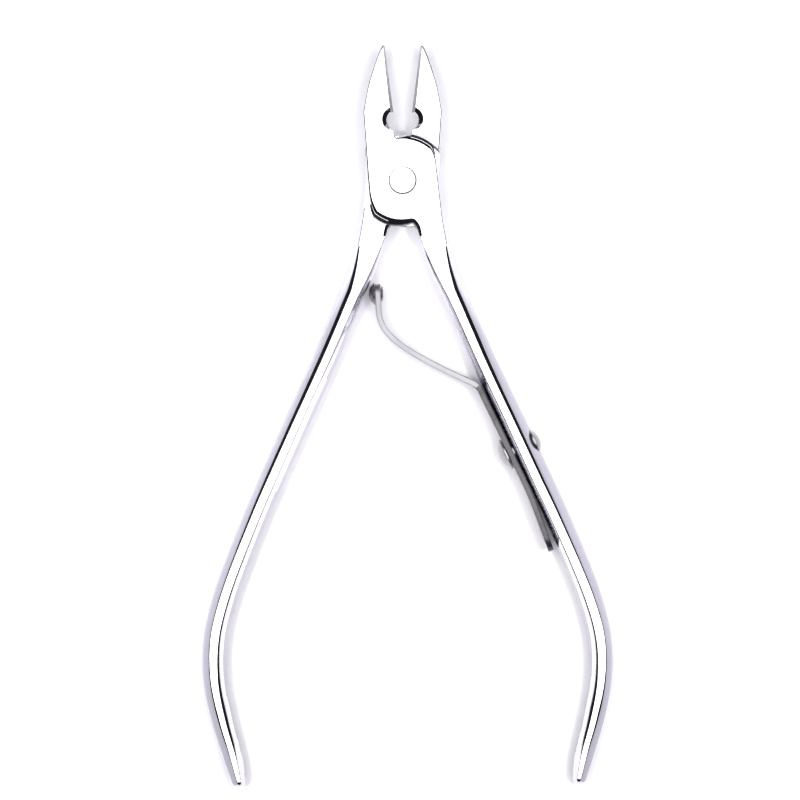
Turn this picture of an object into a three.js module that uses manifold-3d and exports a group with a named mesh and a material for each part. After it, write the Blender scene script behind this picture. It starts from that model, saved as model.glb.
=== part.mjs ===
// Cuticle nipper with a lap joint and a single leaf spring, shown open and at rest.
// Millimetres, +Z up. The pivot axis is Z, the jaws point along +Y and the handles along -Y.
// The nipper lies flat: its underside is the plane z = 0.
import * as THREE from 'three';
import { mergeVertices } from 'three/addons/utils/BufferGeometryUtils.js';
import Module from 'manifold-3d';

const wasm = await Module();
wasm.setup();

// ---- head: two lap plates on one pin ----
const HEAD_THICK = 6.0;         // over both plates
const LAP_GAP = 0.1;            // between the two plates' mating faces
const PLATE_RADIUS = 6.5;       // rounded ends of a lap plate
const SHOULDER_GAP = 0.5;       // round a plate's ends, to the recess in the other half
const PIN_RADIUS = 2.1;
const PIN_CLEARANCE = 0.05;     // radial
const OPENING = 15;             // degrees between the cutting edges when open
const WAIST_HALF_WIDTH = 5.4;   // head outline beside the pin
const LOWER_END = [232, 282];   // degrees, round end of a plate beside the crotch
const UPPER_END = [50, 98];     // degrees, its round end under the relief
const END_STEP = 4;             // degrees between the points of a round end
// outer side beyond the pin: X beyond the waist's half width, and Y
const WAIST_SIDE = [[0.75, -6.2], [0.35, -3.0], [0, 0.15], [-0.3, 2.6]];

// ---- jaws ----
const JAW_REACH = 20.58;        // pivot axis to the tips
const TIP_LAND = 0.35;          // width of the blunt tip
const JAW_HALF_WIDTH = 5.95;    // widest place of the open jaws
const JAW_HEEL = 10.3;          // distance of that place from the pivot axis
// outer side of a jaw: shares of its half width, and of the way from the heel to the tip
const JAW_SIDE = [[0.57, 0.925], [0.69, 0.745], [0.875, 0.39]];
const JAW_TAPER = 1.6;          // metal taken off each face at the tip
const TAPER_START = 8.0;        // where the taper begins
const TAPER_CURVE = 1.6;        // power of the taper's side view
const EDGE_GAP = 0.03;          // each cutting edge to the closing plane
const TOP_BEVEL = 0.5;          // ground land above each edge, seen from above
const HOLLOW = 1.1;             // hollow below each edge, seen from below
const RELIEF_CENTRE = 9.43;     // round relief at the inner end of the edges
const RELIEF_RADIUS = 1.95;
const RELIEF_WAIST = 1.45;      // its radius at mid-thickness
const RELIEF_STRAIGHT = 0.3;    // full radius for this depth at each face
const RELIEF_WAIST_RISE = 0.6;  // waist's half height
const RELIEF_LIP = 0.4;         // along the edge from its centre to the lips
const LIP_GAP = 0.4;            // jaw below the relief to the closing plane

// ---- handles ----
const HANDLE_REACH = 90.8;      // pivot axis to the handle ends, along Y
const HANDLE_SPREAD = 29.1;     // handle centreline to the long axis at its widest
const HANDLE_SET = 0.69;        // degrees, right handle set out and left handle set in
const NECK = [4.9, -9.8];       // handle centreline where it leaves the head
const NECK_LEAD = [-0.6, 2.2];  // from there to the handle's first point, inside the head
const NECK_WIDTH = 4.0;
const GRIP_WIDTH = 3.75;
const GRIP_DEPTH = 5.2;
const END_WIDTH = 1.9;
const END_DEPTH = 2.1;
const HANDLE_STEPS = 40;

// ---- leaf spring ----
const LEAF_THICK = 0.85;
const LEAF_WIDTH = 5.0;         // at the rivet
const LEAF_TIP_WIDTH = 3.8;
const LEAF_SEAT_GAP = 0.12;     // leaf to handle where it is clamped
const LEAF_TAIL_GAP = 0.6;      // leaf to handle at its loose lower end
const TAIL_AT = 0.578;          // stations along the handle, as shares of its length
const RIVET_AT = 0.396;
const BEND_AT = 0.27;
const ARM_SLOPE = 24;           // degrees, free arm above X where it leaves the bend
const ARM_START_PULL = 15.5;    // handle length of the arm's curve at the bend
const ARM_END_PULL = 3.5;       // and at the tip
const ARM_TIP_LEAN = -3;        // degrees, arm's end from +Y towards +X
const HINGE_AT = 0.1;           // share of the arm's curve where it mostly flexes
const HINGE_CLEARANCE = 0.12;   // fixed stretch to the arm's rounded root
const TIP_OVERHANG = 1.45;      // button centre to the leaf's end
const TIP_ROUND = 1.2;          // length of the arm's rounded end
const ELBOW_IN = 1.2;           // round elbow at the bend: length on the handle's side
const ELBOW_OUT = 1.0;          // and on the arm's
const BUTTON_SURROUND = 0.2;    // straight leaf beyond the button's rim

// ---- spring rivet and contact button ----
const RIVET_RADIUS = 1.2;
const RIVET_CLEARANCE = 0.05;
const RIVET_HEAD_RADIUS = 2.4;
const RIVET_HEAD_RIM = 0.35;
const RIVET_HEAD_HEIGHT = 1.2;
const RIVET_TAIL_RADIUS = 1.75;
const RIVET_TAIL_HEIGHT = 1.0;
const RIVET_TAIL_RIM = 0.3;
const SPOTFACE_DEPTH = 0.35;
const SPOTFACE_CLEARANCE = 0.15;
const HEAD_SEAT_GAP = 0.05;
const BUTTON_RADIUS = 1.7;
const BUTTON_HEIGHT = 0.9;
const BUTTON_SHANK_RADIUS = 0.8;
const BUTTON_TAIL_RADIUS = 1.2;
const BUTTON_TAIL_HEIGHT = 0.35;
const BUTTON_GAP = 0.25;        // dome to the left handle when open
const BUTTON_AT = 0.091;        // station on the left handle that the dome faces

const MID = HEAD_THICK / 2;
const SHOULDER_RADIUS = PLATE_RADIUS + SHOULDER_GAP;
const HALF_OPENING = THREE.MathUtils.degToRad(OPENING / 2);
const ROUND_STEPS = 48;

// ---- booleans ----
function solid(geometry) {
  const bare = geometry.clone();
  bare.deleteAttribute('normal');
  bare.deleteAttribute('uv');
  const merged = mergeVertices(bare, 1e-5);
  return new wasm.Manifold(new wasm.Mesh({
    numProp: 3,
    vertProperties: new Float32Array(merged.attributes.position.array),
    triVerts: new Uint32Array(merged.index.array),
  }));
}

function geometryOf(manifold) {
  const mesh = manifold.getMesh();
  const geometry = new THREE.BufferGeometry();
  geometry.setAttribute('position', new THREE.BufferAttribute(new Float32Array(mesh.vertProperties), 3));
  geometry.setIndex(new THREE.BufferAttribute(new Uint32Array(mesh.triVerts), 1));
  return geometry;
}

// ---- small shape helpers ----
const polar = (radius, degrees) => {
  const a = THREE.MathUtils.degToRad(degrees);
  return [radius * Math.cos(a), radius * Math.sin(a)];
};

// A place given with the jaws closed, moved to where the left jaw holds it when open.
function opened(x, y) {
  const c = Math.cos(HALF_OPENING);
  const s = Math.sin(HALF_OPENING);
  return [x * c - y * s, x * s + y * c];
}

// Upright prism of an XY outline between two heights.
function prism(shape, bottom, top, curveSegments = 8) {
  const geometry = new THREE.ExtrudeGeometry(shape, {
    depth: top - bottom,
    bevelEnabled: false,
    curveSegments,
  });
  return geometry.translate(0, 0, bottom);
}

function disc(radius, bottom, top, x = 0, y = 0) {
  const geometry = new THREE.CylinderGeometry(radius, radius, top - bottom, ROUND_STEPS);
  return geometry.rotateX(Math.PI / 2).translate(x, y, (top + bottom) / 2);
}

// Closed skin through rings of equal length, with a flat cap on each end.
function loft(rings) {
  const count = rings[0].length;
  const points = rings.flat();
  const index = [];
  for (let r = 0; r < rings.length - 1; r += 1) {
    for (let i = 0; i < count; i += 1) {
      const a = r * count + i;
      const b = r * count + ((i + 1) % count);
      index.push(a, b, b + count, a, b + count, a + count);
    }
  }
  const last = (rings.length - 1) * count;
  for (let i = 1; i < count - 1; i += 1) {
    index.push(0, i + 1, i);
    index.push(last, last + i, last + i + 1);
  }
  const geometry = new THREE.BufferGeometry().setFromPoints(points);
  geometry.setIndex(index);
  return geometry;
}

// Piece turned about Z so that its +Y axis points along a direction, then placed.
function alongDirection(geometry, direction, origin) {
  const y = direction.clone().normalize();
  const x = new THREE.Vector3(y.y, -y.x, 0);
  const z = new THREE.Vector3(0, 0, 1);
  const matrix = new THREE.Matrix4().makeBasis(x, y, z).setPosition(origin);
  return geometry.applyMatrix4(matrix);
}

// ---- handle ----
// Centreline of the right handle: the neck, then shares of the spread and of the reach. The set
// turns everything past the neck about it.
function handleLine(set) {
  const neck = new THREE.Vector3(...NECK, MID);
  const shares = [[0.21, 0.147], [0.277, 0.197], [0.409, 0.296], [0.6, 0.428], [0.785, 0.56],
    [0.944, 0.691], [0.993, 0.758], [0.996, 0.825], [0.956, 0.892], [0.91, 0.946], [0.872, 1.0]];
  const beyond = shares.map(([spread, reach]) => {
    const point = new THREE.Vector3(spread * HANDLE_SPREAD, -reach * HANDLE_REACH, MID);
    return point.sub(neck).applyAxisAngle(new THREE.Vector3(0, 0, 1), set).add(neck);
  });
  const start = neck.clone().add(new THREE.Vector3(...NECK_LEAD, 0));
  return new THREE.CatmullRomCurve3([start, neck, ...beyond], false, 'centripetal');
}

const rightLine = handleLine(THREE.MathUtils.degToRad(HANDLE_SET));
const leftLine = handleLine(THREE.MathUtils.degToRad(-HANDLE_SET));

// Section at a share of the handle's length. The flat on top runs from flatIn to flatOut, in
// half-widths, towards the outer side; the outer side is fuller than the inner one.
const sections = [
  { at: 0.0, width: NECK_WIDTH, depth: HEAD_THICK, flatIn: -0.93, flatOut: 0.9 },
  { at: 0.05, width: NECK_WIDTH - 0.1, depth: HEAD_THICK - 0.02, flatIn: -0.78, flatOut: 0.5 },
  { at: 0.12, width: GRIP_WIDTH - 0.2, depth: HEAD_THICK - 0.15, flatIn: -0.6, flatOut: 0.1 },
  { at: 0.35, width: GRIP_WIDTH, depth: (HEAD_THICK + GRIP_DEPTH) / 2, flatIn: -0.5, flatOut: 0.0 },
  { at: 0.65, width: GRIP_WIDTH - 0.1, depth: GRIP_DEPTH, flatIn: -0.45, flatOut: 0.0 },
  { at: 0.8, width: GRIP_WIDTH - 0.25, depth: GRIP_DEPTH * 0.84, flatIn: -0.35, flatOut: -0.05 },
  { at: 0.9, width: GRIP_WIDTH - 0.4, depth: GRIP_DEPTH * 0.65, flatIn: -0.3, flatOut: -0.1 },
  { at: 0.955, width: GRIP_WIDTH - 0.95, depth: GRIP_DEPTH * 0.53, flatIn: -0.25, flatOut: 0.0 },
  { at: 1.0, width: END_WIDTH, depth: END_DEPTH, flatIn: -0.2, flatOut: 0.1 },
];

function sectionAt(share) {
  const next = Math.max(1, sections.findIndex((s) => s.at >= share));
  const [a, b] = [sections[next - 1], sections[next]];
  const t = (share - a.at) / (b.at - a.at);
  const mix = (key) => THREE.MathUtils.lerp(a[key], b[key], t);
  return { width: mix('width'), depth: mix('depth'), flatIn: mix('flatIn'), flatOut: mix('flatOut') };
}

// Point, outward direction and section at a share of the handle's length.
function handleFrame(line, share) {
  const point = line.getPointAt(share);
  const along = line.getTangentAt(share).setZ(0).normalize();
  const outward = new THREE.Vector3(-along.y, along.x, 0);
  return { point, outward, ...sectionAt(share) };
}

const SIDE_STEPS = 4;           // facets in each rounded quarter of the section

function handleRing(frame, scale) {
  const a = (frame.width / 2) * scale;
  const b = (frame.depth / 2) * scale;
  const quarter = (flat, side) => Array.from({ length: SIDE_STEPS + 1 }, (_, i) => {
    const turn = (i / SIDE_STEPS) * (Math.PI / 2);
    return [a * (flat + (side - flat) * Math.sin(turn)), b * Math.cos(turn)];
  });
  const outer = quarter(frame.flatOut, 1);
  const inner = quarter(frame.flatIn, -1);
  const under = (points) => points.slice(0, -1).reverse().map(([u, v]) => [u, -v]);
  // round the section from the top, down the inner side and back up the outer side
  const ring = [...inner, ...under(inner), ...under(outer).reverse(), ...outer.slice().reverse()];
  return ring.map(([u, v]) => frame.point.clone().addScaledVector(frame.outward, u)
    .add(new THREE.Vector3(0, 0, v)));
}

function handleSkin(line) {
  const length = line.getLength();
  const endRadius = END_WIDTH / 2;
  const rings = [];
  for (let i = 0; i < HANDLE_STEPS; i += 1) {
    rings.push(handleRing(handleFrame(line, (i / HANDLE_STEPS) * (1 - endRadius / length)), 1));
  }
  // the end is rounded like a dome
  for (const turn of [0, 30, 55, 75]) {
    const a = THREE.MathUtils.degToRad(turn);
    const share = 1 - (endRadius * (1 - Math.sin(a))) / length;
    rings.push(handleRing(handleFrame(line, share), Math.cos(a)));
  }
  return loft(rings);
}

// ---- one forging: left jaw, lap plate and right handle ----
function headOutline() {
  const shape = new THREE.Shape();
  const edge = (y) => opened(-EDGE_GAP, y);
  const tip = edge(JAW_REACH);
  const heel = [-JAW_HALF_WIDTH, JAW_HEEL];
  shape.moveTo(...tip);
  shape.lineTo(...opened(-TIP_LAND, JAW_REACH - 0.05));
  const side = JAW_SIDE.map(([out, up]) => new THREE.Vector2(
    heel[0] * out, THREE.MathUtils.lerp(heel[1], tip[1], up)));
  shape.splineThru([...side, new THREE.Vector2(...heel)]);
  // outer side down past the pin, round the plate's free corner and along its round end
  shape.lineTo(-WAIST_HALF_WIDTH, 0.9);
  shape.lineTo(-WAIST_HALF_WIDTH + 0.2, -1.6);
  shape.quadraticCurveTo(-WAIST_HALF_WIDTH + 0.45, -4.0, ...polar(PLATE_RADIUS, LOWER_END[0]));
  for (let turn = LOWER_END[0] + END_STEP; turn <= LOWER_END[1]; turn += END_STEP) {
    shape.lineTo(...polar(PLATE_RADIUS, turn));
  }
  // crotch, then a stub that ends inside the handle
  const inner = NECK[0] - NECK_WIDTH / 2;
  const outer = NECK[0] + NECK_WIDTH / 2;
  shape.quadraticCurveTo(inner - 0.85, -PLATE_RADIUS + 0.15, inner - 0.4, NECK[1] + 1.5);
  shape.lineTo(inner + 0.1, NECK[1]);
  shape.lineTo(NECK[0], NECK[1] - 1.0);
  shape.lineTo(outer - 0.1, NECK[1]);
  shape.splineThru(WAIST_SIDE.map(([out, y]) => new THREE.Vector2(WAIST_HALF_WIDTH + out, y)));
  // the plate's upper free corner, round end and the lip under the relief
  shape.quadraticCurveTo(WAIST_HALF_WIDTH - 0.55, 4.5, ...polar(PLATE_RADIUS, UPPER_END[0]));
  for (let turn = UPPER_END[0] + END_STEP; turn <= UPPER_END[1]; turn += END_STEP) {
    shape.lineTo(...polar(PLATE_RADIUS, turn));
  }
  const lipStart = opened(-LIP_GAP, SHOULDER_RADIUS + 0.05);
  shape.quadraticCurveTo(...opened(-LIP_GAP, PLATE_RADIUS + 0.1), ...lipStart);
  shape.lineTo(...opened(-LIP_GAP, RELIEF_CENTRE - RELIEF_LIP));
  shape.lineTo(...edge(RELIEF_CENTRE + RELIEF_LIP));
  shape.lineTo(...tip);
  return shape;
}

// Hourglass-shaped relief at the inner end of the cutting edges.
function reliefCutter() {
  const profile = [
    new THREE.Vector2(0, -1),
    new THREE.Vector2(RELIEF_RADIUS, -1),
    new THREE.Vector2(RELIEF_RADIUS, RELIEF_STRAIGHT),
    new THREE.Vector2(RELIEF_WAIST, MID - RELIEF_WAIST_RISE),
    new THREE.Vector2(RELIEF_WAIST, MID + RELIEF_WAIST_RISE),
    new THREE.Vector2(RELIEF_RADIUS, HEAD_THICK - RELIEF_STRAIGHT),
    new THREE.Vector2(RELIEF_RADIUS, HEAD_THICK + 1),
    new THREE.Vector2(0, HEAD_THICK + 1),
  ];
  const [x, y] = opened(0, RELIEF_CENTRE);
  return new THREE.LatheGeometry(profile, 32).rotateX(Math.PI / 2).translate(x, y, 0);
}

// Metal above the jaws' curved top face, seen from the side; the underside's is its mirror.
function taperCutter(side) {
  const steps = 8;
  const profile = new THREE.Shape();
  profile.moveTo(TAPER_START, 0);
  for (let i = 1; i <= steps; i += 1) {
    const t = i / steps;
    profile.lineTo(THREE.MathUtils.lerp(TAPER_START, JAW_REACH + 0.5, t), -JAW_TAPER * t ** TAPER_CURVE);
  }
  profile.lineTo(JAW_REACH + 0.5, 2);
  profile.lineTo(TAPER_START, 2);
  const width = 4 * JAW_HALF_WIDTH;
  const geometry = new THREE.ExtrudeGeometry(profile, { depth: width, bevelEnabled: false });
  // profile x runs along +Y and profile y along +Z
  geometry.applyMatrix4(new THREE.Matrix4().makeBasis(
    new THREE.Vector3(0, 1, 0), new THREE.Vector3(0, 0, 1), new THREE.Vector3(1, 0, 0)));
  geometry.translate(-width / 2, 0, HEAD_THICK);
  return side > 0 ? geometry : geometry.rotateY(Math.PI).translate(0, 0, HEAD_THICK);
}

// Wedges that leave the cutting edge at mid-thickness: a narrow land above, a hollow below.
function edgeCutters(side) {
  const wedge = (land, rise) => {
    const shape = new THREE.Shape();
    shape.moveTo(0, 0);
    shape.lineTo(-land * 1.2, rise * 1.2);
    shape.lineTo(1.5, rise * 1.2);
    shape.lineTo(1.5, 0);
    shape.closePath();
    const geometry = new THREE.ExtrudeGeometry(shape, {
      depth: JAW_REACH - RELIEF_CENTRE + 1,
      bevelEnabled: false,
    });
    // drawn across the edge (x) and up (y), extruded along -Y from beyond the tip
    geometry.rotateX(Math.PI / 2);
    geometry.translate(-EDGE_GAP, JAW_REACH + 1, MID);
    return geometry;
  };
  return [wedge(TOP_BEVEL, MID), wedge(HOLLOW, -MID)].map((geometry) => {
    if (side < 0) {
      geometry.scale(-1, 1, 1);
      flip(geometry);
    }
    return geometry.rotateZ(side * HALF_OPENING);
  });
}

function flip(geometry) {
  if (!geometry.index) {
    const position = geometry.attributes.position;
    geometry.setIndex([...Array(position.count).keys()]);
  }
  const index = geometry.index;
  for (let i = 0; i < index.count; i += 3) {
    const a = index.getX(i);
    index.setX(i, index.getX(i + 1));
    index.setX(i + 1, a);
  }
}

const rivetFrame = handleFrame(rightLine, RIVET_AT);

function forging(line) {
  let body = solid(prism(headOutline(), 0, HEAD_THICK, 12)).add(solid(handleSkin(line)));
  body = body.subtract(solid(taperCutter(1))).subtract(solid(taperCutter(-1)));
  body = body.subtract(solid(reliefCutter()));
  body = body.subtract(solid(disc(SHOULDER_RADIUS, -1, MID + LAP_GAP / 2)));
  return body.subtract(solid(disc(PIN_RADIUS + PIN_CLEARANCE, -1, HEAD_THICK + 1)));
}

const turnedOver = new THREE.Matrix4().makeRotationY(Math.PI).setPosition(0, 0, HEAD_THICK);

function upperHalf() {
  let body = forging(rightLine);
  for (const cutter of edgeCutters(1)) {
    body = body.subtract(solid(cutter));
  }
  // hole for the spring rivet, with a flat spotface under its outer head
  const { point, outward, width } = rivetFrame;
  const hole = new THREE.CylinderGeometry(
    RIVET_RADIUS + RIVET_CLEARANCE, RIVET_RADIUS + RIVET_CLEARANCE, 3 * width, 32);
  const spotRadius = RIVET_TAIL_RADIUS + SPOTFACE_CLEARANCE;
  const spotface = new THREE.CylinderGeometry(spotRadius, spotRadius, width, 32)
    .translate(0, width - SPOTFACE_DEPTH, 0);
  for (const cutter of [hole, spotface]) {
    body = body.subtract(solid(alongDirection(cutter, outward, point)));
  }
  return geometryOf(body);
}

function lowerHalf() {
  let body = solid(geometryOf(forging(leftLine)).applyMatrix4(turnedOver));
  for (const cutter of edgeCutters(-1)) {
    body = body.subtract(solid(cutter));
  }
  return geometryOf(body);
}

// ---- leaf spring ----
// Centre of the dome's sphere, found from the left handle's inner side that it faces.
const domeSphere = (BUTTON_RADIUS ** 2 + BUTTON_HEIGHT ** 2) / (2 * BUTTON_HEIGHT);
const facing = handleFrame(leftLine, BUTTON_AT);
const mirrored = (v) => new THREE.Vector3(-v.x, v.y, v.z);
const facingPoint = mirrored(facing.point).addScaledVector(mirrored(facing.outward), -facing.width / 2);
const sphereCentre = facingPoint.clone()
  .addScaledVector(mirrored(facing.outward), -(domeSphere + BUTTON_GAP));

const tipLean = THREE.MathUtils.degToRad(ARM_TIP_LEAN);
const tipAlong = new THREE.Vector3(Math.sin(tipLean), Math.cos(tipLean), 0);
const tipFacing = new THREE.Vector3(-tipAlong.y, tipAlong.x, 0);
const buttonSeat = sphereCentre.clone().addScaledVector(tipFacing, domeSphere - BUTTON_HEIGHT);
const buttonCentre = buttonSeat.clone().addScaledVector(tipFacing, -LEAF_THICK / 2 - HEAD_SEAT_GAP);

// Point on the leaf's centreline beside the right handle.
function leafBeside(share) {
  const frame = handleFrame(rightLine, share);
  const looseness = THREE.MathUtils.smoothstep(share, RIVET_AT + 0.06, TAIL_AT);
  const gap = THREE.MathUtils.lerp(LEAF_SEAT_GAP, LEAF_TAIL_GAP, looseness);
  return frame.point.clone().addScaledVector(frame.outward, -(frame.width / 2 + gap + LEAF_THICK / 2));
}

const bend = leafBeside(BEND_AT);
const armEnd = buttonCentre.clone().addScaledVector(tipAlong, TIP_OVERHANG);
const straightStart = buttonCentre.clone().addScaledVector(tipAlong, -BUTTON_RADIUS - BUTTON_SURROUND);
const slope = THREE.MathUtils.degToRad(ARM_SLOPE);
const armStart = new THREE.Vector3(-Math.cos(slope), Math.sin(slope), 0);
const armCurve = new THREE.CubicBezierCurve3(
  bend,
  bend.clone().addScaledVector(armStart, ARM_START_PULL),
  straightStart.clone().addScaledVector(tipAlong, -ARM_END_PULL),
  straightStart,
);

// Strip of the leaf's thickness through a path of points, with a width at each.
function strip(path, widths) {
  const rings = path.map((point, i) => {
    const before = path[Math.max(0, i - 1)];
    const after = path[Math.min(path.length - 1, i + 1)];
    const along = after.clone().sub(before).normalize();
    const across = new THREE.Vector3(-along.y, along.x, 0);
    return [[1, 1], [-1, 1], [-1, -1], [1, -1]].map(([side, up]) => point.clone()
      .addScaledVector(across, side * LEAF_THICK / 2)
      .add(new THREE.Vector3(0, 0, up * widths[i] / 2)));
  });
  return loft(rings);
}

// Half-width factor of a rounded end at a distance from it.
const roundEnd = (distance, radius) => (distance >= radius ? 1
  : Math.sqrt(Math.max(0.04, 1 - (1 - distance / radius) ** 2)));

const hinge = armCurve.getPointAt(HINGE_AT);
const armLength = armCurve.getLength();

function leafBase() {
  const path = [];
  const widths = [];
  const handleLength = rightLine.getLength();
  const tailLength = (TAIL_AT - BEND_AT) * handleLength;
  for (const d of [0, 0.15, 0.5, 1.0, 1.7, 2.5, 5, 8, 11, 14, 17, 20, 23]) {
    if (d < tailLength - 1.5) {
      path.push(leafBeside(TAIL_AT - d / handleLength));
      widths.push(LEAF_WIDTH * roundEnd(d, LEAF_WIDTH / 2));
    }
  }
  // the bend is a short round elbow into the first stretch of the arm
  const into = leafBeside(BEND_AT + ELBOW_IN / handleLength);
  const out = armCurve.getPointAt(ELBOW_OUT / armLength);
  const elbow = new THREE.QuadraticBezierCurve3(into, bend, out);
  for (const t of [0, 0.25, 0.5, 0.75, 1]) {
    path.push(elbow.getPoint(t));
    widths.push(LEAF_WIDTH);
  }
  const stop = HINGE_AT - (LEAF_THICK / 2 + HINGE_CLEARANCE) / armLength;
  path.push(armCurve.getPointAt(stop));
  widths.push(LEAF_WIDTH);
  const hole = new THREE.CylinderGeometry(
    RIVET_RADIUS + RIVET_CLEARANCE, RIVET_RADIUS + RIVET_CLEARANCE, 3 * GRIP_WIDTH, 32);
  const { point, outward } = rivetFrame;
  return geometryOf(solid(strip(path, widths)).subtract(solid(alongDirection(hole, outward, point))));
}

function leafArm() {
  const steps = 20;
  const path = [];
  for (let i = 0; i <= steps; i += 1) {
    path.push(armCurve.getPointAt(THREE.MathUtils.lerp(HINGE_AT, 1, i / steps)));
  }
  // straight tip with a rounded end
  for (const d of [TIP_ROUND, 0.7, 0.3, 0.08, 0]) {
    path.push(armEnd.clone().addScaledVector(tipAlong, -d));
  }
  const taper = (i) => THREE.MathUtils.lerp(LEAF_WIDTH, LEAF_TIP_WIDTH, Math.min(1, i / steps));
  const widths = path.map((p, i) => taper(i) * roundEnd(p.distanceTo(armEnd), TIP_ROUND));
  const root = disc(LEAF_THICK / 2, MID - LEAF_WIDTH / 2, MID + LEAF_WIDTH / 2, hinge.x, hinge.y);
  const holeRadius = BUTTON_SHANK_RADIUS + RIVET_CLEARANCE;
  const hole = new THREE.CylinderGeometry(holeRadius, holeRadius, 4, 24);
  return geometryOf(solid(strip(path, widths)).add(solid(root))
    .subtract(solid(alongDirection(hole, tipFacing, buttonCentre))));
}

// ---- pins and rivets ----
// Points of a spherical cap of given base radius and height, from its rim to its crown.
function capProfile(radius, height, base, steps = 6) {
  const sphere = (radius ** 2 + height ** 2) / (2 * height);
  const start = Math.asin(Math.min(1, radius / sphere));
  return Array.from({ length: steps }, (_, i) => {
    const a = start * (1 - i / steps);
    return new THREE.Vector2(sphere * Math.sin(a), base + height - sphere * (1 - Math.cos(a)));
  }).concat(new THREE.Vector2(0, base + height));
}

function springRivet() {
  const { point, outward, width } = rivetFrame;
  const innerSeat = -(width / 2 + LEAF_SEAT_GAP + LEAF_THICK + HEAD_SEAT_GAP);
  const outerSeat = width / 2 - SPOTFACE_DEPTH + HEAD_SEAT_GAP;
  // turned profile from the inner head's crown to the outer head's crown
  const innerCap = capProfile(RIVET_HEAD_RADIUS, RIVET_HEAD_HEIGHT - RIVET_HEAD_RIM, 0)
    .map((p) => new THREE.Vector2(p.x, innerSeat - RIVET_HEAD_RIM - p.y)).reverse();
  const outerCap = capProfile(
    RIVET_TAIL_RADIUS, RIVET_TAIL_HEIGHT - RIVET_TAIL_RIM, outerSeat + RIVET_TAIL_RIM);
  const profile = [
    ...innerCap,
    new THREE.Vector2(RIVET_HEAD_RADIUS, innerSeat),
    new THREE.Vector2(RIVET_RADIUS, innerSeat),
    new THREE.Vector2(RIVET_RADIUS, outerSeat),
    new THREE.Vector2(RIVET_TAIL_RADIUS, outerSeat),
    ...outerCap,
  ];
  return alongDirection(new THREE.LatheGeometry(profile, 32), outward, point);
}

function contactButton() {
  const back = -LEAF_THICK - 2 * HEAD_SEAT_GAP;
  const profile = [
    new THREE.Vector2(0, back - BUTTON_TAIL_HEIGHT),
    new THREE.Vector2(BUTTON_TAIL_RADIUS * 0.7, back - BUTTON_TAIL_HEIGHT),
    new THREE.Vector2(BUTTON_TAIL_RADIUS, back),
    new THREE.Vector2(BUTTON_SHANK_RADIUS, back),
    new THREE.Vector2(BUTTON_SHANK_RADIUS, 0),
    ...capProfile(BUTTON_RADIUS, BUTTON_HEIGHT, 0, 7),
  ];
  return alongDirection(new THREE.LatheGeometry(profile, 32), tipFacing, buttonSeat);
}

function pivotPin() {
  return disc(PIN_RADIUS, 0, HEAD_THICK);
}

// ---- assembly ----
const polishedSteel = { color: 0xe4e2ea, roughness: 0.12, metalness: 1.0 };
const springSteel = { color: 0xc9c7cf, roughness: 0.25, metalness: 1.0 };
const rivetSteel = { color: 0xb4b1b6, roughness: 0.3, metalness: 1.0 };

function piece(name, geometry, look) {
  const mesh = new THREE.Mesh(geometry, new THREE.MeshStandardMaterial(look));
  mesh.name = name;
  return mesh;
}

const nipper = new THREE.Group();
nipper.add(
  piece('upper_half', upperHalf(), polishedSteel),
  piece('lower_half', lowerHalf(), polishedSteel),
  piece('pivot_pin', pivotPin(), polishedSteel),
  piece('leaf_spring_base', leafBase(), springSteel),
  piece('leaf_spring_arm', leafArm(), springSteel),
  piece('spring_rivet', springRivet(), rivetSteel),
  piece('contact_button', contactButton(), rivetSteel),
);

export default nipper;
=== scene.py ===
"""Cuticle nipper: polished forgings on a lap joint, with a riveted leaf spring.

Lengths in the shape code are millimetres in the part's own frame; meshes are made in metres.
"""
import math

import bpy
import bmesh
import numpy as np
from mathutils import Matrix, Vector


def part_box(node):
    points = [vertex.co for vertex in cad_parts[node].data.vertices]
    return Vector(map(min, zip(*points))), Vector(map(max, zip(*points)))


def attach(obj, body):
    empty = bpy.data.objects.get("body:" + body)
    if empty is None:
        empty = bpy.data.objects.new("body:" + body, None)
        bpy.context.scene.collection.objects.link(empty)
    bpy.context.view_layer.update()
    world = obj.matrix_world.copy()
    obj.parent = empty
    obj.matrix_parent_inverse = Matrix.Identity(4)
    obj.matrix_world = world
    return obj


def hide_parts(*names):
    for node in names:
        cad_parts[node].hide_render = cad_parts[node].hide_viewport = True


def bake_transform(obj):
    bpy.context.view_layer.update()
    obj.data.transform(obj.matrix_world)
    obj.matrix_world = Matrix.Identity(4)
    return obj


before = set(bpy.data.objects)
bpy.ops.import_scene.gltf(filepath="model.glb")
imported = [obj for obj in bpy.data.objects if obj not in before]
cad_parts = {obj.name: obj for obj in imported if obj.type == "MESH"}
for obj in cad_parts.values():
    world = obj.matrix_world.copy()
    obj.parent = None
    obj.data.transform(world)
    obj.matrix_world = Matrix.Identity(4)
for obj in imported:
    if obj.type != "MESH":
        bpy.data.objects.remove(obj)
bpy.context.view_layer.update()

MM = 0.001

# ---- sizes shared with the frame ----
low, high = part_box("pivot_pin")
HEAD_THICK = (high.z - low.z) / MM
PIN_RADIUS = (high.x - low.x) / 2 / MM
MID = HEAD_THICK / 2
LAP_GAP = 0.1
PLATE_RADIUS = 6.5
FREE_RADIUS = 6.86      # a plate's end where it turns inside the other half
SHOULDER_RADIUS = 7.0
HALF_OPENING = math.radians(7.5)
WAIST = 5.4
# side away from the jaw's heel, from the neck up: X beyond the waist's half width, and Y
WAIST_SIDE = ((0.75, -6.2), (0.35, -3.0), (0, 0.15), (-0.3, 2.6))
# degrees on a plate's round ends: free corner, where it leaves the free radius, far end
LOWER_END = (230, 256, 282)
UPPER_END = (50, 84, 98)
END_STEP = 2
JAW_REACH = 20.58
TIP_LAND = 0.35
JAW_HALF_WIDTH = 5.95
JAW_HEEL = 10.3
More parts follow.
